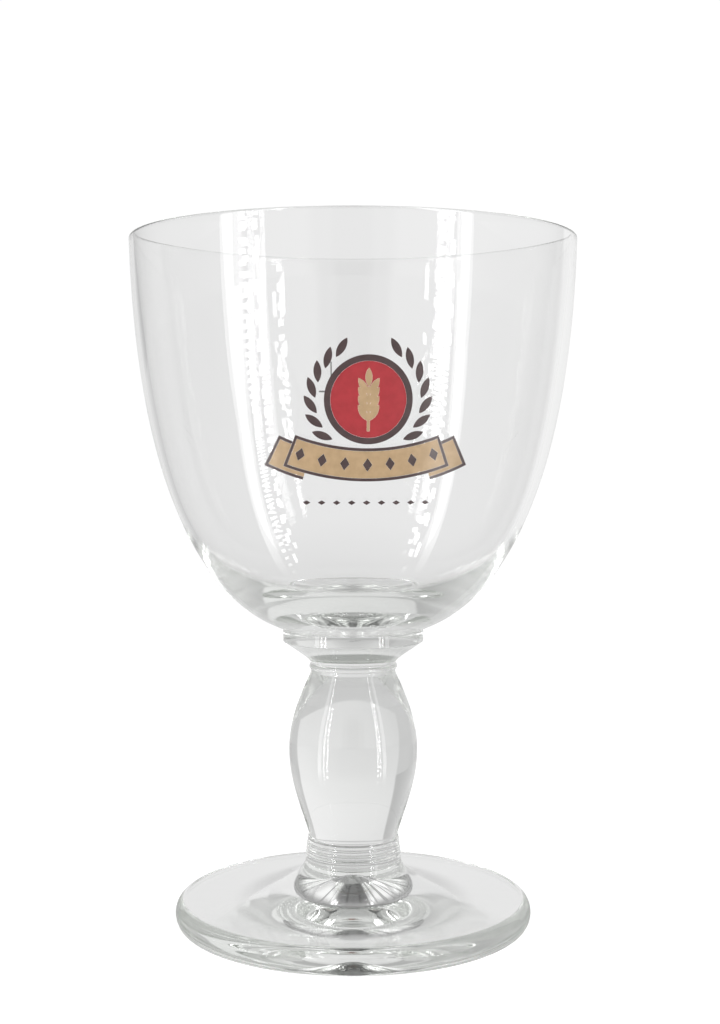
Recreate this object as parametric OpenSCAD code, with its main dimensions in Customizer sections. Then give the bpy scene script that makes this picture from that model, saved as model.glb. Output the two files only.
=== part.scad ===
// Chalice glass for beer: a thin bowl on a collar, a baluster stem, a ringed neck and a heavy round foot.
// Every glass piece is turned about the Z axis. The glass stands on z = 0 and its printed front faces -Y.

/* [Foot] */
// Diameter of the foot at its widest line
foot_d = 78.4; // [66:0.2:96]
// Height of the foot, from the table to the seam under the ringed neck
foot_h = 14.6; // [12.5:0.1:20]
// Height of the foot's upright edge
foot_edge_h = 5.6; // [4:0.1:8]
// How far the resting ring lies inside the widest line
foot_edge_in = 1.2; // [0.4:0.1:3]
// Rounding of the edge's upper corner
foot_edge_round = 0.8; // [0.3:0.1:1.5]
// Width of the ring that the glass stands on
rest_w = 2; // [1:0.1:4]
// Height of the shallow hollow inside the resting ring
hollow_h = 0.8; // [0.3:0.1:1.5]
// How far the flare round the neck spreads over the foot
flare_w = 7; // [4:0.1:12]
// How far the flare falls from the neck before it spreads
flare_h = 5; // [3:0.1:6.5]
// Rise of the top between the edge and the flare
top_rise = 1; // [0:0.1:3]

/* [Kick-up under the foot] */
// Diameter of the kick-up at the underside
kick_d = 22; // [18:0.5:30]
// Slope of its side, in degrees
kick_slope = 42; // [20:1:44]
// Rounding of its point
kick_tip_r = 2; // [0.5:0.1:3]
// Rounding of its lower lip
kick_lip_r = 2; // [0.5:0.1:3]

/* [Ringed neck] */
// Diameter where the neck stands on the foot
neck_d = 20.9; // [18:0.1:26]
// Height of the neck
neck_h = 4.3; // [3:0.1:8]
// Number of fine ridges round it
ridges = 4; // [2:1:7]
// How far a ridge stands out
ridge_out = 0.2; // [0.1:0.05:0.5]

/* [Stem] */
// Height of the stem
stem_h = 36.4; // [26:0.2:60]
// Diameter of the stem's lower end
stem_low_d = 19.3; // [14:0.1:20.5]
// Diameter of the stem's upper end
stem_top_d = 18.6; // [14:0.1:24]
// How far the baluster swells out from a straight stem
stem_swell = 4.7; // [2:0.1:8]
// Place of the belly: 1 is half way up and more is higher
stem_skew = 1.1; // [0.8:0.05:1.3]

/* [Collar] */
// Diameter of the collar's disc
collar_d = 30.9; // [26:0.1:38]
// Height of the collar, with its bead
collar_h = 9.5; // [8:0.1:14]
// Height of the disc's upright side
collar_side_h = 2.8; // [1.5:0.1:4]
// Rounding of the disc's corners
collar_round = 0.35; // [0.1:0.05:0.7]
// Height of the plain seam under the bead
seam_h = 0.7; // [0.3:0.1:1.5]
// Height of the bead round the seam
bead_h = 1.2; // [0.6:0.1:2]
// How far the bead stands out from the stem's upper end
bead_out = 0.4; // [0.2:0.05:1]

/* [Bowl] */
// Height of the bowl, from the collar to the rim
bowl_h = 85.2; // [70:0.2:110]
// Outer diameter at the rim
rim_d = 97; // [84:0.5:112]
// Thickness of the wall at the rim
wall = 1.3; // [1:0.1:2]
// Thickness of the solid glass in the middle of the bowl's floor
floor_t = 5.6; // [4:0.1:10]

/* [Printed badge] */
// Height of the medallion's centre above the bowl's seat
badge_up = 49; // [44:0.5:54]
// Turn of the badge from the front, in degrees
badge_turn = 4; // [-20:1:20]
// Diameter of the medallion
medal_d = 17; // [14:0.5:20]
// Width of the medallion's dark rim
medal_rim_w = 1.2; // [0.8:0.1:2]
// Length of the barley ear on the medallion
ear_h = 12; // [9:0.5:12.5]
// Pairs of leaves in the wreath
leaf_pairs = 7; // [4:1:9]
// Length of one leaf
leaf_l = 4.2; // [3:0.1:5]
// Width of one leaf
leaf_w = 1.5; // [1:0.1:2]
// Width of the ribbon under the medallion
ribbon_w = 30; // [22:0.5:32]
// Height of the ribbon
ribbon_h = 6.4; // [5:0.1:8]
// Radius that the ribbon is bent to
ribbon_r = 42; // [36:1:60]
// Width of the dark line round the ribbon
ribbon_line = 0.6; // [0.4:0.1:1]
// Number of lozenges on the ribbon
lozenges = 7; // [3:2:9]
// Length of a lozenge on the ribbon
lozenge_l = 2.6; // [1.6:0.1:3]
// Number of small lozenges in the row below
row_count = 9; // [5:2:11]
// Spacing of the small lozenges
row_step = 2.9; // [2.4:0.1:3.2]
// Length of a small lozenge
row_l = 1.5; // [1:0.1:2]

/* [Fill line] */
// Height of the fill line above the bowl's seat
fill_up = 53.8; // [48:0.1:60]
// Length of the fill line
fill_w = 11.6; // [6:0.2:20]
// Thickness of the fill line
fill_line_h = 0.4; // [0.3:0.05:1]

/* [Fired print] */
// Thickness of the fired enamel
print_t = 0.12; // [0.08:0.02:0.3]
// Clearance between a print and the glass, and between two colours
print_gap = 0.03; // [0.02:0.01:0.06]

/* [Hidden] */
$fn = 96;

// The pieces stand on each other from the table up.
neck_z = foot_h;
stem_z = neck_z + neck_h;
collar_z = stem_z + stem_h;
bowl_z = collar_z + collar_h;

foot_r = foot_d / 2;
neck_r = neck_d / 2;
stem_low_r = stem_low_d / 2;
stem_top_r = stem_top_d / 2;
collar_r = collar_d / 2;
rim_r = rim_d / 2;

// Steps along a turned curve, and across one ridge or rounded corner
curve_steps = 40;
corner_steps = 8;

// Handles of the bowl's outer curve, as shares of its reach, its height and the rim's radius
seat_reach_share = 0.113;
seat_rise_share = 0.018;
shoulder_reach_share = 0.9575;
shoulder_rise_share = 0.098;
// Handles of the bowl's inner curve, as shares of the mouth's radius
floor_reach_share = 0.52;
side_reach_share = 0.88;
// Handles of the collar's hollow curve, as shares of its reach and its height
cove_low_share = 0.23;
cove_reach_share = 0.5;
cove_rise_share = 0.54;
// Level of the foot's widest line, as a share of its edge
edge_belly_share = 0.5;
// How far the neck draws in towards the stem, as a share of their difference
neck_draw_share = 0.6;
// Lowest print on the bowl, as a share of the bowl's height
print_low_share = 0.24;

// Grains of the barley ear: length as a share of the ear, the others as shares of a grain
grain_share = 0.3;
grain_w_share = 0.36;
grain_out_share = 0.8;
stalk_share = 0.4;
// Rows of grains below the top one, and their tilt in degrees
grain_rows = 4;
grain_tilt = 32;
// Ribbon: its middle below the medallion and the drop of its tails, as shares of its height,
// and the overlap of a tail, as a share of half the ribbon
ribbon_mid_share = 0.62;
tail_drop_share = 0.22;
tail_turn_share = 0.24;
// Width of a lozenge and of a small one, as shares of their length
lozenge_w_share = 0.7;
row_w_share = 0.6;
// The row of small lozenges below the ribbon's middle, as a share of the ribbon's height
row_drop_share = 1.15;
// Wreath: distance from the medallion, as a share of a leaf, then its first and last angle
// and the lean of its leaves, in degrees
wreath_out_share = 0.62;
wreath_from = -38;
wreath_to = 62;
leaf_lean = 32;

// Outline tools: a point on a cubic curve, its outward unit normal, and an arc between two angles
function cubic(a, b, c, d, t) =
    pow(1 - t, 3) * a + 3 * pow(1 - t, 2) * t * b + 3 * (1 - t) * t * t * c + pow(t, 3) * d;
function cubic_way(a, b, c, d, t) =
    pow(1 - t, 2) * (b - a) + 2 * (1 - t) * t * (c - b) + t * t * (d - c);
function outward(way) = [way[1], -way[0]] / norm(way);
function arc_at(centre, rx, rz, from, to, i) =
    let (a = from + (to - from) * i / corner_steps) centre + [rx * cos(a), rz * sin(a)];
function mix(a, b, share) = a + (b - a) * share;

// The foot: a thick disc that slopes up to the neck, with a kick-up pressed into its underside
kick_r = kick_d / 2;
kick_rounds = kick_tip_r + kick_lip_r;
kick_h = hollow_h + kick_rounds * (1 - cos(kick_slope))
    + tan(kick_slope) * (kick_r - kick_rounds * sin(kick_slope));
rest_r = foot_r - foot_edge_in;
belly_z = foot_edge_h * edge_belly_share;

module foot() {
    under = concat(
        [for (i = [0:corner_steps]) arc_at([0, kick_h - kick_tip_r], kick_tip_r, kick_tip_r,
            90, 90 - kick_slope, i)],
        [for (i = [0:corner_steps]) arc_at([kick_r, hollow_h + kick_lip_r], kick_lip_r, kick_lip_r,
            270 - kick_slope, 270, i)],
        [[rest_r - rest_w, 0]]);
    edge = concat(
        [for (i = [0:corner_steps]) arc_at([rest_r, belly_z], foot_edge_in, belly_z, -90, 0, i)],
        [for (i = [0:corner_steps]) arc_at([foot_r - foot_edge_round, foot_edge_h - foot_edge_round],
            foot_edge_round, foot_edge_round, 0, 90, i)]);
    top = [for (i = [1:curve_steps]) cubic(
        [foot_r - foot_edge_round, foot_edge_h],
        [neck_r + flare_w, foot_edge_h + top_rise],
        [neck_r, foot_h - flare_h],
        [neck_r, foot_h], i / curve_steps)];
    color("gainsboro") rotate_extrude() polygon(concat(under, edge, top, [[0, foot_h]]));
}

// The neck: fine ridges left by the tool, drawn in slightly towards the stem
neck_top_r = mix(neck_r, stem_low_r, neck_draw_share);
ridge_h = neck_h / ridges;

module ringed_neck() {
    side = [for (k = [0:ridges - 1], i = [0:corner_steps - 1])
        let (up = (k + i / corner_steps) * ridge_h)
        [mix(neck_r, neck_top_r, up / neck_h) + ridge_out * sin(180 * i / corner_steps), neck_z + up]];
    color("gainsboro") rotate_extrude()
        polygon(concat([[0, neck_z]], side, [[neck_top_r, stem_z], [0, stem_z]]));
}

// The stem: a baluster, drawn as one skewed half wave on a nearly straight stem
module stem() {
    side = [for (i = [0:curve_steps])
        let (u = i / curve_steps)
        [mix(stem_low_r, stem_top_r, u) + stem_swell * sin(180 * pow(u, stem_skew)), stem_z + u * stem_h]];
    color("gainsboro") rotate_extrude() polygon(concat([[0, stem_z]], side, [[0, collar_z]]));
}

// The collar: a bead over the seam, a hollow curve that opens upwards, and a disc that the bowl stands on
bead_z = collar_z + seam_h;
cove_z = bead_z + bead_h;
disc_z = bowl_z - collar_side_h;
cove_h = disc_z - cove_z;
cove_w = collar_r - collar_round - stem_top_r;

module collar() {
    bead = [for (i = [0:corner_steps]) arc_at([stem_top_r, bead_z + bead_h / 2],
        bead_out, bead_h / 2, -90, 90, i)];
    cove = [for (i = [1:curve_steps / 2]) cubic(
        [stem_top_r, cove_z],
        [stem_top_r, cove_z + cove_h * cove_low_share],
        [stem_top_r + cove_w * cove_reach_share, cove_z + cove_h * cove_rise_share],
        [stem_top_r + cove_w, disc_z], i * 2 / curve_steps)];
    disc = concat(
        [for (i = [1:corner_steps]) arc_at([collar_r - collar_round, disc_z + collar_round],
            collar_round, collar_round, -90, 0, i)],
        [for (i = [0:corner_steps]) arc_at([collar_r - collar_round, bowl_z - collar_round],
            collar_round, collar_round, 0, 90, i)]);
    color("gainsboro") rotate_extrude()
        polygon(concat([[0, collar_z], [stem_top_r, collar_z]], bead, cove, disc, [[0, bowl_z]]));
}

// The bowl: its outer curve rises from the collar's disc, its inner one from the thick floor
seat_r = collar_r - collar_round;
lip_r = wall / 2;
lip_z = bowl_z + bowl_h - lip_r;
outer_handles = [
    [seat_r, bowl_z],
    [mix(seat_r, rim_r, seat_reach_share), bowl_z + bowl_h * seat_rise_share],
    [rim_r * shoulder_reach_share, bowl_z + bowl_h * shoulder_rise_share],
    [rim_r, lip_z]];
floor_z = bowl_z + floor_t;
mouth_r = rim_r - wall;
inner_handles = [
    [0, floor_z],
    [mouth_r * floor_reach_share, floor_z],
    [mouth_r * side_reach_share, floor_z],
    [mouth_r, lip_z]];
function on_curve(h, t) = cubic(h[0], h[1], h[2], h[3], t);
function off_curve(h, t, off) =
    on_curve(h, t) + off * outward(cubic_way(h[0], h[1], h[2], h[3], t));

module bowl() {
    outside = [for (i = [0:curve_steps]) on_curve(outer_handles, i / curve_steps)];
    lip = [for (i = [1:corner_steps - 1]) arc_at([rim_r - lip_r, lip_z], lip_r, lip_r, 0, 180, i)];
    inside = [for (i = [curve_steps:-1:0]) on_curve(inner_handles, i / curve_steps)];
    color("whitesmoke") rotate_extrude() polygon(concat([[0, bowl_z]], outside, lip, inside));
}

// A print: a thin shell that follows the bowl's outer curve from the lowest print up, cut to a flat drawing
module print(turn, up) {
    low = bowl_z + bowl_h * print_low_share;
    held = [for (i = [0:curve_steps]) if (on_curve(outer_handles, i / curve_steps)[1] > low) i / curve_steps];
    last = len(held) - 1;
    rotate([0, 0, turn]) intersection() {
        rotate_extrude() polygon(concat(
            [for (t = held) off_curve(outer_handles, t, print_gap)],
            [for (i = [last:-1:0]) off_curve(outer_handles, held[i], print_gap + print_t)]));
        translate([0, 0, bowl_z + up]) rotate([90, 0, 0]) linear_extrude(rim_d) children();
    }
}

// Drawing tools: a pointed leaf between two arcs, and a lozenge. Each grows by the given margin.
module leaf(l, w, grow) {
    half_l = l / 2 + grow;
    half_w = w / 2 + grow;
    r = (half_l * half_l + half_w * half_w) / (2 * half_w);
    intersection() {
        translate([r - half_w, 0]) circle(r);
        translate([half_w - r, 0]) circle(r);
    }
}
module lozenge(l, w, grow) {
    x = w / 2 + grow;
    y = l / 2 + grow;
    polygon([[x, 0], [0, y], [-x, 0], [0, -y]]);
}

// The barley ear: pairs of grains up a stalk, with one grain on top
grain_l = ear_h * grain_share;
grain_w = grain_l * grain_w_share;
stalk_w = grain_w * stalk_share;
module ear(grow) {
    step = (ear_h - grain_l) / (grain_rows + 1);
    for (i = [1:grain_rows], side = [-1, 1])
        translate([side * grain_w * grain_out_share, -ear_h / 2 + grain_l / 2 + step * i])
            rotate(-side * grain_tilt) leaf(grain_l, grain_w, grow);
    translate([0, ear_h / 2 - grain_l / 2]) leaf(grain_l, grain_w, grow);
    translate([-stalk_w / 2 - grow, -ear_h / 2 - grow])
        square([stalk_w + 2 * grow, ear_h - grain_l + 2 * grow]);
}

// The ribbon: a bent band whose ends rise. Its drawing origin is the medallion's centre.
medal_r = medal_d / 2;
ribbon_mid = -medal_r - ribbon_h * ribbon_mid_share;
ribbon_half = asin(ribbon_w / 2 / ribbon_r);
tail_turn = ribbon_half * tail_turn_share;
tail_drop = ribbon_h * tail_drop_share;
module band(from, to, h, drop) {
    far = ribbon_r * 2;
    translate([0, ribbon_mid + ribbon_r - drop]) intersection() {
        difference() {
            circle(ribbon_r + h / 2);
            circle(ribbon_r - h / 2);
        }
        polygon([[0, 0], far * [sin(from), -cos(from)], far * [sin(to), -cos(to)]]);
    }
}
line_turn = asin(ribbon_line / ribbon_r);
gap_turn = asin(print_gap / ribbon_r);
module ribbon(inset, grow) {
    turn = ribbon_half - line_turn * inset + gap_turn * grow;
    band(-turn, turn, ribbon_h - 2 * ribbon_line * inset + 2 * print_gap * grow, 0);
}
module tail(side, inset, grow) {
    near = side * (ribbon_half - tail_turn);
    far = side * (ribbon_half + tail_turn - line_turn * inset + gap_turn * grow);
    h = ribbon_h - 2 * ribbon_line * inset + 2 * print_gap * grow;
    difference() {
        band(min(near, far), max(near, far), h, tail_drop);
        ribbon(0, 1);
    }
}
module ribbon_marks(grow) {
    for (i = [0:lozenges - 1])
        translate([0, ribbon_mid + ribbon_r]) rotate((i - (lozenges - 1) / 2) * 2 * ribbon_half / lozenges)
            translate([0, -ribbon_r]) lozenge(lozenge_l, lozenge_l * lozenge_w_share, grow);
}

// The wreath: pairs of leaves that climb both sides of the medallion
wreath_r = medal_r + leaf_l * wreath_out_share;
module wreath() {
    for (side = [-1, 1], i = [0:leaf_pairs - 1])
        let (a = mix(wreath_from, wreath_to, i / (leaf_pairs - 1)))
        translate([side * wreath_r * cos(a), wreath_r * sin(a)]) rotate(side * (a - leaf_lean))
            leaf(leaf_l, leaf_w, 0);
}

module badge_dark() {
    row_z = ribbon_mid - ribbon_h * row_drop_share;
    color("#3b2c2b") print(badge_turn, badge_up) {
        difference() {
            circle(medal_r);
            circle(medal_r - medal_rim_w);
        }
        difference() {
            wreath();
            ribbon(0, 1);
            circle(medal_r + print_gap);
        }
        difference() {
            ribbon(0, 0);
            ribbon(1, 1);
        }
        for (side = [-1, 1]) difference() {
            tail(side, 0, 0);
            tail(side, 1, 1);
        }
        ribbon_marks(0);
        for (i = [0:row_count - 1])
            translate([(i - (row_count - 1) / 2) * row_step, row_z]) rotate(90)
                lozenge(row_l, row_l * row_w_share, 0);
    }
}
module badge_red() {
    color("#b3262e") print(badge_turn, badge_up) difference() {
        circle(medal_r - medal_rim_w - print_gap);
        ear(print_gap);
    }
}
module badge_gold() {
    color("#c8a26a") print(badge_turn, badge_up) {
        ear(0);
        difference() {
            ribbon(1, 0);
            ribbon_marks(print_gap);
        }
        for (side = [-1, 1]) tail(side, 1, 0);
    }
}

// The fill line stands on the back of the bowl, opposite the badge.
module fill_line() {
    color("dimgray") print(badge_turn + 180, fill_up)
        translate([-fill_w / 2, -fill_line_h / 2]) square([fill_w, fill_line_h]);
}

foot();
ringed_neck();
stem();
collar();
bowl();
badge_dark();
badge_red();
badge_gold();
fill_line();
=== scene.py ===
import math
import bpy
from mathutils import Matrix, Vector


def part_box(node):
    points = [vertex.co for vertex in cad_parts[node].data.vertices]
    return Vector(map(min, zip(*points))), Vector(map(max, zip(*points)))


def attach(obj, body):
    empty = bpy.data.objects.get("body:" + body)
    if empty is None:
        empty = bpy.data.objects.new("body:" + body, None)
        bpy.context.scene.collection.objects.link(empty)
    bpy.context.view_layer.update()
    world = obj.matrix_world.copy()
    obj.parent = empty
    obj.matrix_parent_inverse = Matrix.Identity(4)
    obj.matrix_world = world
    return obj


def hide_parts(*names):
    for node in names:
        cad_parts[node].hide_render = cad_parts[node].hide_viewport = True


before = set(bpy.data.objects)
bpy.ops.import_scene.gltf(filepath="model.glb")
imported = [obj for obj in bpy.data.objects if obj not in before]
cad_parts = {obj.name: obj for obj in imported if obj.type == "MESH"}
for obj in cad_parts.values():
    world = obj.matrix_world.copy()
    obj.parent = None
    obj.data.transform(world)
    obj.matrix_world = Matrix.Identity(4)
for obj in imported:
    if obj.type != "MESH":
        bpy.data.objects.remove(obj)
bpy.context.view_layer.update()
scene = bpy.context.scene
mm = 0.001
print("frame loaded:", len(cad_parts), "nodes")


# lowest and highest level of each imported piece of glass, in mm
levels = {node: tuple(corner.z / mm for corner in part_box(node))
          for node in ("foot", "ringed_neck", "stem", "collar", "bowl")}


def linear(hexColour):
    # sRGB hex to linear RGBA
    parts = [int(hexColour[i:i + 2], 16) / 255 for i in (1, 3, 5)]
    return [c / 12.92 if c <= 0.04045 else ((c + 0.055) / 1.055) ** 2.4 for c in parts] + [1.0]


def addNode(tree, kind, settings=None, links=None):
    # one node, with its settings and what feeds it
    node = tree.nodes.new(kind)
    for key, value in (settings or {}).items():
        if isinstance(key, int) or key in node.inputs:
            node.inputs[key].default_value = value
        else:
            setattr(node, key, value)
    for key, source in (links or {}).items():
        tree.links.new(source, node.inputs[key])
    return node


def fade(tree, value, start, end, fromValue=0.0, toValue=1.0, kind="SMOOTHSTEP"):
    return addNode(tree, "ShaderNodeMapRange",
                   {"interpolation_type": kind, "From Min": start, "From Max": end, "To Min": fromValue,
                    "To Max": toValue}, {"Value": value}).outputs["Result"]


def calc(tree, operation, a, b=None):
    # one sum on two values, each a number or what feeds it
    settings, links = {"operation": operation}, {}
    for slot, value in ((0, a), (1, b)):
        if value is not None:
            (settings if isinstance(value, float) else links)[slot] = value
    return addNode(tree, "ShaderNodeMath", settings, links).outputs["Value"]


def blend(tree, share, a, b):
    settings, links = {"data_type": "FLOAT"}, {"Factor": share}
    for slot, value in (("A", a), ("B", b)):
        (settings if isinstance(value, float) else links)[slot] = value
    return addNode(tree, "ShaderNodeMix", settings, links).outputs["Result"]


def mix(a, b, share):
    return a + (b - a) * share


# Outline tools, all in mm as (radius, height)
def cubic(a, b, c, d, steps):
    points = []
    for i in range(steps + 1):
        t = i / steps
        s = 1 - t
        points.append(tuple(s**3 * a[k] + 3 * s * s * t * b[k] + 3 * s * t * t * c[k] + t**3 * d[k]
                            for k in (0, 1)))
    return points


def arc(centre, rx, rz, start, end, steps):
    angles = [math.radians(mix(start, end, i / steps)) for i in range(steps + 1)]
    return [(centre[0] + rx * math.cos(a), centre[1] + rz * math.sin(a)) for a in angles]


turning = dict(
    sides=256,      # faces round the axis
    fine=12,        # steps across a small rounding
    lipSteps=24, coveSteps=40, flareSteps=80, stemSteps=120, bowlSteps=160,
    seamGap=0.02,   # mm between two fused gathers, so that their seam faces never coincide
)


def turnedPiece(name, skin, seamBelow=False, seamAbove=False, paintedShine=0):
    # a closed piece of glass turned about Z; its flat seam faces carry the attribute "seam",
    # and its first rows of skin, as many as the last argument says, carry the mask for the kick-up's painted
    # reflection
    half = turning["seamGap"] / 2
    points = list(skin)
    flags = [(0.0, 1.0 if i < paintedShine else 0.0) for i in range(len(skin) - 1)]
    if seamBelow:
        points[0] = (points[0][0], points[0][1] + half)
        points.insert(0, (0.0, points[0][1]))
        flags.insert(0, (1.0, 0.0))
    if seamAbove:
        points[-1] = (points[-1][0], points[-1][1] - half)
        points.append((0.0, points[-1][1]))
        flags.append((1.0, 0.0))
    vertices, rings, faces, seam, shineRows = [], [], [], [], []
    for r, z in points:
        count = 1 if r < 1e-6 else turning["sides"]
        rings.append(range(len(vertices), len(vertices) + count))
        for k in range(count):
            a = 2 * math.pi * k / turning["sides"]
            vertices.append((r * mm * math.cos(a), r * mm * math.sin(a), z * mm))
    for low, high, flag in zip(rings, rings[1:], flags):
        for k in range(turning["sides"]):
            n = (k + 1) % turning["sides"]
            if len(low) == 1:
                faces.append((low[0], high[n], high[k]))
            elif len(high) == 1:
                faces.append((low[k], low[n], high[0]))
            else:
                faces.append((low[k], low[n], high[n], high[k]))
            seam.append(flag[0])
            shineRows.append(flag[1])
    mesh = bpy.data.meshes.new(name)
    mesh.from_pydata(vertices, [], faces)
    mesh.attributes.new("seam", "FLOAT", "FACE").data.foreach_set("value", seam)
    mesh.attributes.new("paintedShine", "FLOAT", "FACE").data.foreach_set("value", shineRows)
    mesh.shade_smooth()
    mesh.set_sharp_from_angle(angle=math.radians(50))
    piece = bpy.data.objects.new(name, mesh)
    scene.collection.objects.link(piece)
    return piece


def dress(piece, node, material):
    piece.data.materials.clear()
    piece.data.materials.append(material)
    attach(piece, "root")
    if node:
        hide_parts(node)
    return piece


# Soda-lime glass, iron-poor, so it is nearly clear: only thick parts turn a cool grey-green.
# Gathers worked hot and fire polished keep soft waves, which make the edges of reflections wander.
clearGlass = dict(
    tint="#FEFEFE",          # light lost at each wall
    ior=1.52,
    absorbColour=(0.950, 0.955, 0.948, 1.0),
    absorbDensity=50.0,      # per metre
)
# Size and height of the waves and height of the mould's rings in mm; streak stretches the waves along the axis
pressedFinish = dict(waveSize=11, waveHeight=0.02, streak=1.0, ringHeight=0.003)
blownFinish = dict(waveSize=16, waveHeight=0.012, streak=2.5, ringHeight=0.0)
mouldRings = dict(around=3, apart=0.7)   # mm, how long the rings run and how far apart they are
# Painted reflection on the cone kicked up under the foot: its glossy coat gets a colour painted round the axis, dark
# at the front and back and bright between, standing in for the shade and the lights that the cone mirrors
kickPaintedReflection = dict(
    share=0.9,               # how much of the cone under the foot carries the painted reflection
    sides=2.0, drift=0.7,    # painted dark bands round it, and how uneven they are
    # dark and bright are the painted tones of the reflection; bright above 1 is a painted highlight
    edge=(0.5, 0.8), dark=0.28, bright=1.5, rough=0.06,
    # thin dark creases painted across the reflection, as painted shade
    paintedCreases=9.0, creaseEdge=(0.56, 0.62), creaseTone=0.45,
    capFrom=(6.6, 7.2), capTone=0.62,    # mm, the pale cap painted at the tip
    footTo=(1.0, 3.2), footTone=0.5,     # mm, the grey shade painted at the foot of the cone
)


def sodaLime(name, finish):
    material = bpy.data.materials.new(name)
    material.use_nodes = True
    tree = material.node_tree
    tree.nodes.clear()
    place = addNode(tree, "ShaderNodeTexCoord")
    along = addNode(tree, "ShaderNodeMapping", {"Scale": (1.0, 1.0, 1.0 / finish["streak"])},
                    {"Vector": place.outputs["Object"]})
    waves = addNode(tree, "ShaderNodeTexNoise",
                    {"Scale": 1 / (finish["waveSize"] * mm), "Detail": 1.5, "Roughness": 0.45},
                    {"Vector": along.outputs["Vector"]})
    bump = addNode(tree, "ShaderNodeBump", {"Strength": 1.0, "Distance": finish["waveHeight"] * mm},
                   {"Height": waves.outputs["Fac"]})
    # fine rings left by the turning mould, which make the edges of highlights uneven
    around, apart = 1 / (mouldRings["around"] * mm), 1 / (mouldRings["apart"] * mm)
    across = addNode(tree, "ShaderNodeMapping", {"Scale": (around, around, apart)},
                     {"Vector": place.outputs["Object"]})
    rings = addNode(tree, "ShaderNodeTexNoise", {"Scale": 1.0, "Detail": 0.0}, {"Vector": across.outputs["Vector"]})
    bump = addNode(tree, "ShaderNodeBump", {"Strength": 1.0, "Distance": finish["ringHeight"] * mm},
                   {"Height": rings.outputs["Fac"], "Normal": bump.outputs["Normal"]})
    seam = addNode(tree, "ShaderNodeAttribute", {"attribute_name": "seam"})
    openShare = calc(tree, "SUBTRACT", 1.0, seam.outputs["Fac"])
    glass = addNode(tree, "ShaderNodeBsdfPrincipled",
                    {"Base Color": linear(clearGlass["tint"]), "Roughness": 0.0, "IOR": clearGlass["ior"],
                     "Transmission Weight": 1.0},
                    {"Normal": bump.outputs["Normal"], "Alpha": openShare})
    # The cone pressed up under the foot carries a painted reflection: a glossy coat whose colour is painted round
    # the axis, a dark band at the front, bright ones beside it, and so on, with thin painted dark creases, a pale
    # cap at the tip and grey shade at its foot.
    split = addNode(tree, "ShaderNodeSeparateXYZ", None, {"Vector": place.outputs["Object"]})
    turn = calc(tree, "ARCTAN2", split.outputs["X"], calc(tree, "MULTIPLY", split.outputs["Y"], -1.0))
    level = addNode(tree, "ShaderNodeVectorMath", {"operation": "MULTIPLY", 1: (1.0, 1.0, 0.0)},
                    {0: place.outputs["Object"]})
    outward = addNode(tree, "ShaderNodeVectorMath", {"operation": "NORMALIZE"}, {0: level.outputs["Vector"]})
    drift = addNode(tree, "ShaderNodeTexNoise", {"Scale": 3.0, "Detail": 2.0}, {"Vector": outward.outputs["Vector"]})
    bent = calc(tree, "ADD", calc(tree, "MULTIPLY", turn, kickPaintedReflection["sides"]),
                calc(tree, "MULTIPLY", calc(tree, "SUBTRACT", drift.outputs["Fac"], 0.5), kickPaintedReflection["drift"]))
    bright = fade(tree, calc(tree, "COSINE", bent), *kickPaintedReflection["edge"], 1.0, 0.0)
    paintedCreases = addNode(tree, "ShaderNodeTexNoise", {"Scale": kickPaintedReflection["paintedCreases"], "Detail": 1.0},
                      {"Vector": outward.outputs["Vector"]})
    creaseShade = fade(tree, paintedCreases.outputs["Fac"], *kickPaintedReflection["creaseEdge"], 1.0, kickPaintedReflection["creaseTone"])
    tone = calc(tree, "MULTIPLY", blend(tree, bright, kickPaintedReflection["dark"], kickPaintedReflection["bright"]), creaseShade)
    up = split.outputs["Z"]
    cap = fade(tree, up, *(z * mm for z in kickPaintedReflection["capFrom"]))
    tone = blend(tree, cap, tone, kickPaintedReflection["capTone"])
    base = fade(tree, up, *(z * mm for z in kickPaintedReflection["footTo"]), 1.0, 0.0)
    tone = blend(tree, base, tone, kickPaintedReflection["footTone"])
    paintedReflection = addNode(tree, "ShaderNodeBsdfGlossy", {"Roughness": kickPaintedReflection["rough"]}, {"Color": tone})
    # the kick-up's faces carry the painted reflection, the rest is clear glass
    paintedShine = addNode(tree, "ShaderNodeAttribute", {"attribute_name": "paintedShine"})
    share = calc(tree, "MULTIPLY", paintedShine.outputs["Fac"], kickPaintedReflection["share"])
    skin = addNode(tree, "ShaderNodeMixShader", None,
                   {0: share, 1: glass.outputs["BSDF"], 2: paintedReflection.outputs["BSDF"]})
    body = addNode(tree, "ShaderNodeVolumeAbsorption",
                   {"Color": clearGlass["absorbColour"], "Density": clearGlass["absorbDensity"]})
    addNode(tree, "ShaderNodeOutputMaterial", None,
            {"Surface": skin.outputs["Shader"], "Volume": body.outputs["Volume"]})
    return material


pressedGlass = sodaLime("pressed_soda_lime", pressedFinish)
blownGlass = sodaLime("blown_soda_lime", blownFinish)
print("glass materials made")


# The foot stands on a ring inside its rounded edge; its underside is hollowed and kicked up in the middle
foot = dict(
    d=78.4, edgeH=5.6, edgeIn=1.8, edgeRound=2.2, restW=2.0, hollowH=0.8,
    flareW=7.0, flareH=5.0, topRise=1.0,                # the curve from the edge up to the neck
    kickD=22.0, kickSlope=42.0, kickTipR=2.0, kickLipR=2.0,
)


def kickSkin():
    fine, slope = turning["fine"], math.radians(foot["kickSlope"])
    tip, lip, kickR = foot["kickTipR"], foot["kickLipR"], foot["kickD"] / 2
    kickH = foot["hollowH"] + (tip + lip) * (1 - math.cos(slope)) \
        + math.tan(slope) * (kickR - (tip + lip) * math.sin(slope))
    skin = arc((0, kickH - tip), tip, tip, 90, 90 - foot["kickSlope"], fine)
    return skin + arc((kickR, foot["hollowH"] + lip), lip, lip, 270 - foot["kickSlope"], 270, fine)


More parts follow.
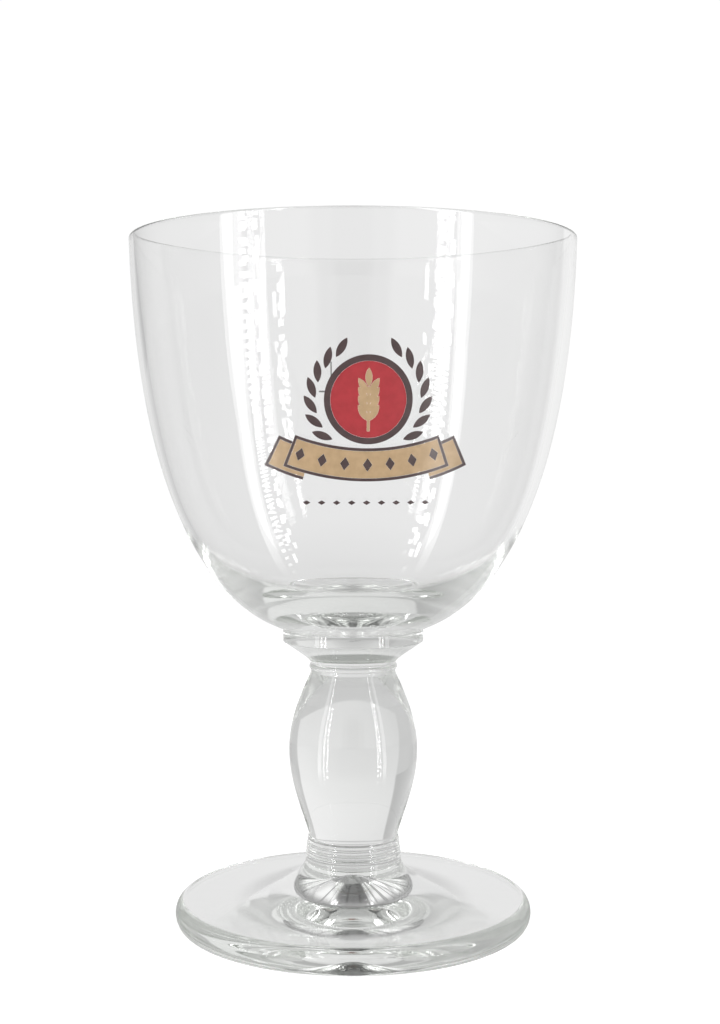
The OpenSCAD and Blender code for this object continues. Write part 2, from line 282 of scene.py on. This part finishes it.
def footSkin():
    fine, top = turning["fine"], levels["foot"][1]
    footR, neckR = foot["d"] / 2, neck["d"] / 2
    restR, bellyZ = footR - foot["edgeIn"], foot["edgeH"] / 2
    edgeR = foot["edgeRound"]
    skin = kickSkin() + [(restR - foot["restW"], 0)]
    skin += arc((restR, bellyZ), foot["edgeIn"], bellyZ, -90, 0, fine)
    skin += arc((footR - edgeR, bellyZ), edgeR, foot["edgeH"] - bellyZ, 0, 90, fine)[1:]
    skin += cubic((footR - edgeR, foot["edgeH"]), (neckR + foot["flareW"], foot["edgeH"] + foot["topRise"]),
                  (neckR, top - foot["flareH"]), (neckR, top), turning["flareSteps"])[1:]
    return skin


neck = dict(d=20.9, ridges=4, ridgeOut=0.12, drawShare=0.6)   # drawShare: how far it narrows to the stem


def neckSkin():
    low, high = levels["ringed_neck"]
    rows = turning["fine"] * neck["ridges"]
    bottomR = neck["d"] / 2
    topR = mix(bottomR, stem["lowD"] / 2, neck["drawShare"])
    skin = []
    for i in range(rows + 1):
        u = i / rows
        wave = math.sin(math.pi * u * neck["ridges"]) ** 2
        skin.append((mix(bottomR, topR, u) + neck["ridgeOut"] * wave, mix(low, high, u)))
    return skin


stem = dict(lowD=19.3, topD=18.6, swell=4.7, skew=1.1)   # skew lifts the widest place above the middle


def stemSkin():
    low, high = levels["stem"]
    skin = []
    for i in range(turning["stemSteps"] + 1):
        u = i / turning["stemSteps"]
        swell = stem["swell"] * math.sin(math.pi * u ** stem["skew"])
        skin.append((mix(stem["lowD"], stem["topD"], u) / 2 + swell, mix(low, high, u)))
    return skin


# A seam and a bead round the stem's top, then a hollow curve out to the disc; cove values are shares of that curve
collar = dict(d=30.9, sideH=2.8, round=0.35, seamH=0.7, beadH=1.2, beadOut=0.4,
              coveLow=0.23, coveReach=0.5, coveRise=0.54)


def collarSkin():
    low, high = levels["collar"]
    fine, r, topR = turning["fine"], collar["round"], stem["topD"] / 2
    discR, discZ = collar["d"] / 2, high - collar["sideH"]
    beadZ = low + collar["seamH"]
    coveZ, coveW = beadZ + collar["beadH"], discR - r - topR
    coveH = discZ - coveZ
    skin = [(topR, low)] + arc((topR, beadZ + collar["beadH"] / 2), collar["beadOut"], collar["beadH"] / 2,
                               -90, 90, fine)
    skin += cubic((topR, coveZ), (topR, coveZ + coveH * collar["coveLow"]),
                  (topR + coveW * collar["coveReach"], coveZ + coveH * collar["coveRise"]),
                  (topR + coveW, discZ), turning["coveSteps"])[1:]
    skin += arc((discR - r, discZ + r), r, r, -90, 0, fine)[1:]
    skin += arc((discR - r, high - r), r, r, 0, 90, fine)
    return skin


# outer and inner pull the two curves of the bowl, as shares of its width and height
bowl = dict(rimD=97.0, wall=1.3, floorT=5.6, outer=(0.113, 0.018, 0.9575, 0.098), inner=(0.52, 0.88))


def outerBowl():
    low, high = levels["bowl"]
    rimR, seatR = bowl["rimD"] / 2, collar["d"] / 2 - collar["round"]
    reach, rise, out, up = bowl["outer"]
    h = high - low
    return cubic((seatR, low), (mix(seatR, rimR, reach), low + h * rise), (rimR * out, low + h * up),
                 (rimR, high - bowl["wall"] / 2), turning["bowlSteps"])


def innerBowl():
    low, high = levels["bowl"]
    mouthR, floorZ = bowl["rimD"] / 2 - bowl["wall"], low + bowl["floorT"]
    return cubic((0, floorZ), (mouthR * bowl["inner"][0], floorZ), (mouthR * bowl["inner"][1], floorZ),
                 (mouthR, high - bowl["wall"] / 2), turning["bowlSteps"])


def bowlSkin():
    lipR = bowl["wall"] / 2
    outside = outerBowl()
    lip = arc((bowl["rimD"] / 2 - lipR, outside[-1][1]), lipR, lipR, 0, 180, turning["lipSteps"])[1:-1]
    return outside + lip + innerBowl()[::-1]


dress(turnedPiece("foot_gather", footSkin(), seamAbove=True, paintedShine=len(kickSkin()) - 1), "foot", pressedGlass)
dress(turnedPiece("ringed_neck_gather", neckSkin(), True, True), "ringed_neck", pressedGlass)
dress(turnedPiece("baluster_stem", stemSkin(), True, True), "stem", pressedGlass)
dress(turnedPiece("collar_disc", collarSkin(), True, True), "collar", pressedGlass)
dress(turnedPiece("blown_bowl", bowlSkin(), seamBelow=True), "bowl", blownGlass)
print("glass pieces turned")


# Ceramic colour, screen printed and fired: opaque and softly glossy, a little darker where the print is thin.
# The real grain is finer than the picture can show, so it is drawn at the smallest size that shows.
enamel = dict(
    rough=0.28, ior=1.55,
    cloudSize=1.6, cloudEdge=(0.35, 0.65),              # mm, the uneven print
    grainSize=0.35, grainDepth=0.012, grainShare=0.6,   # mm, mm
)


def firedEnamel(name, colour, thinColour):
    material = bpy.data.materials.new(name)
    material.use_nodes = True
    tree = material.node_tree
    tree.nodes.clear()
    place = addNode(tree, "ShaderNodeTexCoord")
    cloud = addNode(tree, "ShaderNodeTexNoise", {"Scale": 1 / (enamel["cloudSize"] * mm), "Detail": 3.0},
                    {"Vector": place.outputs["Object"]})
    grain = addNode(tree, "ShaderNodeTexNoise", {"Scale": 1 / (enamel["grainSize"] * mm), "Detail": 1.0},
                    {"Vector": place.outputs["Object"]})
    thin = fade(tree, cloud.outputs["Fac"], *enamel["cloudEdge"], kind="LINEAR")
    tone = addNode(tree, "ShaderNodeMix", {"data_type": "RGBA", 6: linear(colour), 7: linear(thinColour)},
                   {"Factor": thin})
    bump = addNode(tree, "ShaderNodeBump",
                   {"Strength": enamel["grainShare"], "Distance": enamel["grainDepth"] * mm},
                   {"Height": grain.outputs["Fac"]})
    paint = addNode(tree, "ShaderNodeBsdfPrincipled", {"Roughness": enamel["rough"], "IOR": enamel["ior"]},
                    {"Base Color": tone.outputs[2], "Normal": bump.outputs["Normal"]})
    addNode(tree, "ShaderNodeOutputMaterial", None, {"Surface": paint.outputs["BSDF"]})
    return material


prints = {
    "badge_dark": firedEnamel("dark_fired_enamel", "#473838", "#403131"),
    "badge_red": firedEnamel("red_fired_enamel", "#A22D33", "#98282E"),
    "badge_gold": firedEnamel("gold_fired_enamel", "#B09572", "#A68C69"),
    "fill_line": firedEnamel("grey_fired_enamel", "#676966", "#606260"),
}
for node, material in prints.items():
    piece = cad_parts[node]
    piece.data.materials.clear()
    piece.data.materials.append(material)
print("prints dressed")


# The capacity mark over the fill line: thin strokes of the same enamel, in mm from the line's middle
mark = dict(
    turn=184.0, lineUp=53.8,         # place of the fill line: degrees from the front, height above the bowl's seat
    baseUp=1.9, stroke=0.34, thick=0.1, off=0.03,
    digitH=4.0, digitW=2.1, letterH=5.2,
    nought=-4.3, point=-2.6, two=-0.8, letter=2.6,   # where each sign stands along the line
    noughtNarrow=0.9, pointHalf=0.2, pointUp=0.1,
    roundSteps=28, hookSteps=14, tailSteps=6,
)


def ellipse(centreU, centreV, halfW, halfH, start, end, steps):
    return [(centreU + halfW * math.cos(math.radians(mix(start, end, i / steps))),
             centreV + halfH * math.sin(math.radians(mix(start, end, i / steps)))) for i in range(steps + 1)]


def markStrokes():
    h, w, top = mark["digitH"], mark["digitW"] / 2, mark["digitH"] - mark["digitW"] / 2
    two = ellipse(mark["two"], top, w, w, 165, -35, mark["hookSteps"])
    two += [(mark["two"] - w, 0), (mark["two"] + w, 0)]
    letter = [(mark["letter"], mark["letterH"]), (mark["letter"], w / 2)] \
        + ellipse(mark["letter"] + w / 2, w / 2, w / 2, w / 2, 180, 290, mark["tailSteps"])
    left, right = mark["point"] - mark["pointHalf"], mark["point"] + mark["pointHalf"]
    return {
        "capacity_nought": ellipse(mark["nought"], h / 2, w * mark["noughtNarrow"], h / 2, 0, 360,
                                   mark["roundSteps"]),
        "capacity_point": [(left, mark["pointUp"]), (right, mark["pointUp"])],
        "capacity_two": two,
        "capacity_letter": letter,
    }


bowlOutside = outerBowl()


def onBowl(u, v, off):
    # a point of the mark's drawing, laid on the bowl's outer curve
    z = levels["bowl"][0] + mark["lineUp"] + mark["baseUp"] + v
    k = next(i for i in range(1, len(bowlOutside)) if bowlOutside[i][1] >= z)
    (r0, z0), (r1, z1) = bowlOutside[k - 1], bowlOutside[k]
    r = mix(r0, r1, (z - z0) / (z1 - z0)) + off
    y = -math.sqrt(r * r - u * u)
    turn = math.radians(mark["turn"])
    return ((u * math.cos(turn) - y * math.sin(turn)) * mm, (u * math.sin(turn) + y * math.cos(turn)) * mm, z * mm)


def strokePiece(name, path):
    # a closed ribbon along a path, as wide as the stroke
    vertices, faces, half = [], [], mark["stroke"] / 2
    for i, (u, v) in enumerate(path):
        (u0, v0), (u1, v1) = path[max(i - 1, 0)], path[min(i + 1, len(path) - 1)]
        long = math.hypot(u1 - u0, v1 - v0)
        acrossU, acrossV = -(v1 - v0) / long * half, (u1 - u0) / long * half
        for side, off in ((1, mark["off"]), (-1, mark["off"]), (-1, mark["off"] + mark["thick"]),
                          (1, mark["off"] + mark["thick"])):
            vertices.append(onBowl(u + side * acrossU, v + side * acrossV, off))
    for i in range(len(path) - 1):
        for k in range(4):
            a, b = i * 4 + k, i * 4 + (k + 1) % 4
            faces.append((a, b, b + 4, a + 4))
    last = len(vertices) - 4
    faces += [(3, 2, 1, 0), (last, last + 1, last + 2, last + 3)]
    mesh = bpy.data.meshes.new(name)
    mesh.from_pydata(vertices, [], faces)
    piece = bpy.data.objects.new(name, mesh)
    scene.collection.objects.link(piece)
    return dress(piece, None, prints["fill_line"])


for name, path in markStrokes().items():
    strokePiece(name, path)
print("capacity mark drawn")


# The studio: the camera sees pure white behind the glass, and the glass sees a pale grey tent with a back sheet,
# a glowing floor painted darker near the glass, with a painted shadow under the kick-up and painted streaks of
# light, and two tall lights with strings of lamps beside them.
studio = dict(
    horizonGrey=0.84, upperGrey=0.86,     # the back sheet at the horizon, and above it
    upperAt=0.14,                         # the height, as a sine, where the upper grey is full
    tilt=0.13,                            # how much brighter the sheet grows per radian to the right
    sheetFrom=-31.5, sheetTo=47.0, sheetSoft=1.5,   # degrees from straight back where the sheet ends
    gapGrey=0.5, sideGrey=0.74, sideFrom=(32, 75),   # beside the sheet, and further round
    frontGrey=0.95, frontFrom=(95, 115),  # the front half of the tent
    topGrey=0.5, topFrom=(0.71, 0.95),    # the tent's top, as sines
    openingGrey=0.42, openingAt=(17, 24),  # the open front, which fades out between these degrees
    cameraGrey=0.1, cameraAt=(8, 12),     # the dark camera in the middle of it
    openingTop=(0.3, 0.5),                # heights, as sines, where the opening ends
    coreR=23.0, coreSoft=4.0, coreShadowGrey=0.5,      # mm, a painted shadow on the floor under the kick-up
    underR=39.0, underSoft=1.0, underGrey=0.78,   # mm, and under the rest of the foot
    nearR=88.0, nearSoft=2.0, nearGrey=0.62,      # mm, a darker disc round it
    farGrey=0.75,                                 # and just outside that
    cardWhite="#F2F2F2", cardLift=0.4,    # the floor that the camera sees
    backdropGlow=1.02,                    # and the white behind the glass
    floorHalf=4.5, floorDrop=0.05, domeR=7.0,    # m, mm, m
    domeSides=48, domeLevels=(-5, 15, 35, 55, 75, 89),   # degrees
)


def plainMaterial(name, shader, settings):
    material = bpy.data.materials.new(name)
    material.use_nodes = True
    tree = material.node_tree
    tree.nodes.clear()
    node = addNode(tree, shader, settings)
    addNode(tree, "ShaderNodeOutputMaterial", None, {"Surface": node.outputs[0]})
    return material


def stageObject(name, mesh, material, seenBy):
    # seenBy names the kinds of ray that meet the object
    piece = bpy.data.objects.new(name, mesh)
    mesh.materials.append(material)
    scene.collection.objects.link(piece)
    for kind in ("camera", "diffuse", "glossy", "transmission", "shadow", "volume_scatter"):
        setattr(piece, "visible_" + kind, kind in seenBy)
    return piece


def flatMesh(name, halfX, halfY, z):
    mesh = bpy.data.meshes.new(name)
    mesh.from_pydata([(-halfX, -halfY, z), (halfX, -halfY, z), (halfX, halfY, z), (-halfX, halfY, z)], [],
                     [(0, 1, 2, 3)])
    return mesh


def sheetShare(tree, x, y):
    # 1 in front of the back sheet, with its turn from straight back and its slow brightening to the right
    turn = calc(tree, "ARCTAN2", x, y)
    start, end, soft = (math.radians(studio[key]) for key in ("sheetFrom", "sheetTo", "sheetSoft"))
    share = calc(tree, "MULTIPLY", fade(tree, turn, start - soft, start + soft),
                 fade(tree, turn, end - soft, end + soft, 1.0, 0.0))
    tilt = fade(tree, turn, start, end, 1 + studio["tilt"] * start, 1 + studio["tilt"] * end, "LINEAR")
    return turn, share, tilt


drop, half = studio["floorDrop"] * mm, studio["floorHalf"]
stageObject("floor", flatMesh("floor", half, half, -drop),
            plainMaterial("white_card", "ShaderNodeBsdfPrincipled",
                          {"Base Color": linear(studio["cardWhite"]), "Roughness": 0.9, "Specular IOR Level": 0.1,
                           "Emission Color": (1, 1, 1, 1), "Emission Strength": studio["cardLift"]}), ("camera",))


# Two tall lights with strings of small lamps beside them, one lamp every pitch; all in mm.
# The table carries a painted streak of light from each light towards the glass.
lights = dict(
    left_strip=dict(at=(-296, -171), width=42, top=425, glow=3.2),
    right_strip=dict(at=(695, -464), width=96, top=910, glow=3.2),
    left_string=dict(at=(-268, -213), width=20, top=425, glow=14.0, pitch=8.3),
    right_string=dict(at=(577, -603), width=50, top=910, glow=14.0, pitch=20.0),
    left_low_string=dict(at=(-240, -240), width=14, top=220, glow=24.0, pitch=24.0),
    right_low_string=dict(at=(416, -375), width=22, top=360, glow=24.0, pitch=38.0),
)
lightFoot = 4                            # mm, from the table up to the lower ends of the lights
shineFrom, shineTo = 0.06, 0.12          # m from the axis where the painted streaks of light start, and are full
shineSoft = 0.2                          # share of a streak's width that is its soft edge
lampEdge = (0.15, 0.25)                  # shares of the pitch from a lamp's middle to where it fades


def lamps(tree, share, along, pitch):
    # share on the lamps of a string, and 0 between them
    place = calc(tree, "FRACT", calc(tree, "DIVIDE", along, pitch * mm))
    off = calc(tree, "ABSOLUTE", calc(tree, "SUBTRACT", place, 0.5))
    return calc(tree, "MULTIPLY", share, fade(tree, off, *lampEdge, 1.0, 0.0))


def edgeOf(zone):
    # where the edge of a zone of the table starts and ends, in m
    radius, soft = studio[zone + "R"], studio[zone + "Soft"]
    return (radius - soft) * mm, (radius + soft) * mm


def paintedShadeFloorMaterial():
    # a glowing card, not lit, with painted light and shade: a painted shadow under the kick-up, lighter under the
    # rest of the foot, a darker disc round it, paler towards the back sheet, and painted streaks of light
    material = plainMaterial("floor_painted_shade_and_light", "ShaderNodeEmission", {})
    tree = material.node_tree
    card = next(n for n in tree.nodes if n.type == "EMISSION")
    place = addNode(tree, "ShaderNodeTexCoord")
    split = addNode(tree, "ShaderNodeSeparateXYZ", None, {"Vector": place.outputs["Object"]})
    away = addNode(tree, "ShaderNodeVectorMath", {"operation": "LENGTH"},
                   {0: place.outputs["Object"]}).outputs["Value"]
    turn, sheet, tilt = sheetShare(tree, split.outputs["X"], split.outputs["Y"])
    near = calc(tree, "DIVIDE", studio["nearR"] * mm, away)
    pale = fade(tree, near, 0.0, 1.0, studio["horizonGrey"], studio["farGrey"], "LINEAR")
    outside = calc(tree, "MULTIPLY", sheet, fade(tree, away, *edgeOf("near")))
    level = blend(tree, outside, studio["nearGrey"], calc(tree, "MULTIPLY", pale, tilt))
    under = fade(tree, away, *edgeOf("core"), studio["coreShadowGrey"], studio["underGrey"])
    level = blend(tree, fade(tree, away, *edgeOf("under")), under, level)
    # painted streaks of light on the table, one from each light, standing in for its reflection
    for light in lights.values():
        side, ahead = light["at"]
        wide = light["width"] / 2 / math.hypot(side, ahead)
        off = calc(tree, "ABSOLUTE", calc(tree, "SUBTRACT", turn, math.atan2(side, ahead)))
        streak = fade(tree, off, wide * (1 - shineSoft), wide * (1 + shineSoft), light["glow"], 0.0)
        shine = calc(tree, "MULTIPLY", streak, fade(tree, away, shineFrom, shineTo))
        if "pitch" in light:
            shine = lamps(tree, shine, away, light["pitch"])
        level = calc(tree, "ADD", level, shine)
    tree.links.new(level, card.inputs["Strength"])
    return material


stageObject("floor_seen_by_glass", flatMesh("floor_seen_by_glass", half, half, -2 * drop), paintedShadeFloorMaterial(),
            ("diffuse", "glossy", "transmission"))


def domeMesh():
    sides, radius = studio["domeSides"], studio["domeR"]
    vertices, faces = [], []
    for level in studio["domeLevels"]:
        r, z = radius * math.cos(math.radians(level)), radius * math.sin(math.radians(level))
        vertices += [(r * math.cos(2 * math.pi * k / sides), r * math.sin(2 * math.pi * k / sides), z)
                     for k in range(sides)]
    for start in range(0, len(vertices) - sides, sides):
        for k in range(sides):
            n = (k + 1) % sides
            faces.append((start + k, start + n, start + sides + n, start + sides + k))
    mesh = bpy.data.meshes.new("backdrop")
    mesh.from_pydata(vertices, [], faces)
    return mesh


stageObject("backdrop", domeMesh(),
            plainMaterial("white_backdrop", "ShaderNodeEmission", {"Strength": studio["backdropGlow"]}), ("camera",))


def paintTent():
    world = bpy.data.worlds.new("light_tent")
    scene.world = world
    world.use_nodes = True
    tree = world.node_tree
    tree.nodes.clear()
    way = addNode(tree, "ShaderNodeTexCoord")
    split = addNode(tree, "ShaderNodeSeparateXYZ", None, {"Vector": way.outputs["Generated"]})
    up = split.outputs["Z"]
    turn, sheet, tilt = sheetShare(tree, split.outputs["X"], split.outputs["Y"])
    aside = calc(tree, "ABSOLUTE", turn)
    back = fade(tree, up, 0.0, studio["upperAt"], studio["horizonGrey"], studio["upperGrey"])
    beside = fade(tree, aside, *map(math.radians, studio["sideFrom"]), studio["gapGrey"], studio["sideGrey"])
    level = blend(tree, sheet, beside, calc(tree, "MULTIPLY", back, tilt))
    level = blend(tree, fade(tree, aside, *map(math.radians, studio["frontFrom"])), level, studio["frontGrey"])
    level = blend(tree, fade(tree, up, *studio["topFrom"]), level, studio["topGrey"])
    below = fade(tree, up, *studio["openingTop"], 1.0, 0.0)
    for grey, (inner, outer) in ((studio["openingGrey"], studio["openingAt"]),
                                 (studio["cameraGrey"], studio["cameraAt"])):
        inside = fade(tree, aside, math.radians(180 - outer), math.radians(180 - inner))
        level = blend(tree, calc(tree, "MULTIPLY", inside, below), level, grey)
    sky = addNode(tree, "ShaderNodeBackground", {"Color": (1, 1, 1, 1)}, {"Strength": level})
    addNode(tree, "ShaderNodeOutputWorld", None, {"Surface": sky.outputs["Background"]})


paintTent()


def litPanel(name, light):
    # a tall glowing panel that stands on the table and faces the glass
    (side, ahead), tall = light["at"], light["top"] - lightFoot
    panel = stageObject(name, flatMesh(name, light["width"] * mm / 2, tall * mm / 2, 0),
                        plainMaterial(name, "ShaderNodeEmission", {"Strength": light["glow"]}),
                        ("diffuse", "glossy", "transmission"))
    panel.location = (side * mm, ahead * mm, (lightFoot + tall / 2) * mm)
    panel.rotation_euler = Vector((-side, -ahead, 0)).to_track_quat("-Z", "Y").to_euler()
    if "pitch" not in light:
        return
    tree = panel.data.materials[0].node_tree
    glint = next(n for n in tree.nodes if n.type == "EMISSION")
    result = next(n for n in tree.nodes if n.type == "OUTPUT_MATERIAL")
    where = addNode(tree, "ShaderNodeTexCoord")
    split = addNode(tree, "ShaderNodeSeparateXYZ", None, {"Vector": where.outputs["Object"]})
    share = lamps(tree, 1.0, split.outputs["Y"], light["pitch"])
    clear = addNode(tree, "ShaderNodeBsdfTransparent")
    mixer = addNode(tree, "ShaderNodeMixShader", None,
                    {0: share, 1: clear.outputs["BSDF"], 2: glint.outputs["Emission"]})
    tree.links.new(mixer.outputs["Shader"], result.inputs["Surface"])


for name, light in lights.items():
    litPanel(name, light)
print("studio set")


# Solved from the photograph's ellipses, in mm
view = dict(at=(1.5, -339.38, 104.97), aim=(1.5, 0.0, 90.47), lens=54.29, sensor=36.0, nearest=10.0)
cameraData = bpy.data.cameras.new("camera")
cameraData.lens, cameraData.sensor_width, cameraData.sensor_fit = view["lens"], view["sensor"], "AUTO"
cameraData.clip_start = view["nearest"] * mm
camera = bpy.data.objects.new("camera", cameraData)
camera.location = Vector(view["at"]) * mm
camera.rotation_euler = (Vector(view["aim"]) * mm - camera.location).to_track_quat("-Z", "Y").to_euler()
scene.collection.objects.link(camera)
scene.camera = camera

scene.view_settings.view_transform = "Standard"
scene.view_settings.look = "None"
cycles = scene.cycles
bounces = 100   # light that is caught in the thick glass needs many turns to find its way out
cycles.max_bounces = cycles.transmission_bounces = cycles.glossy_bounces = bounces
cycles.transparent_max_bounces, cycles.volume_bounces = bounces, 0
cycles.caustics_reflective = cycles.caustics_refractive = True
cycles.blur_glossy = 0.0
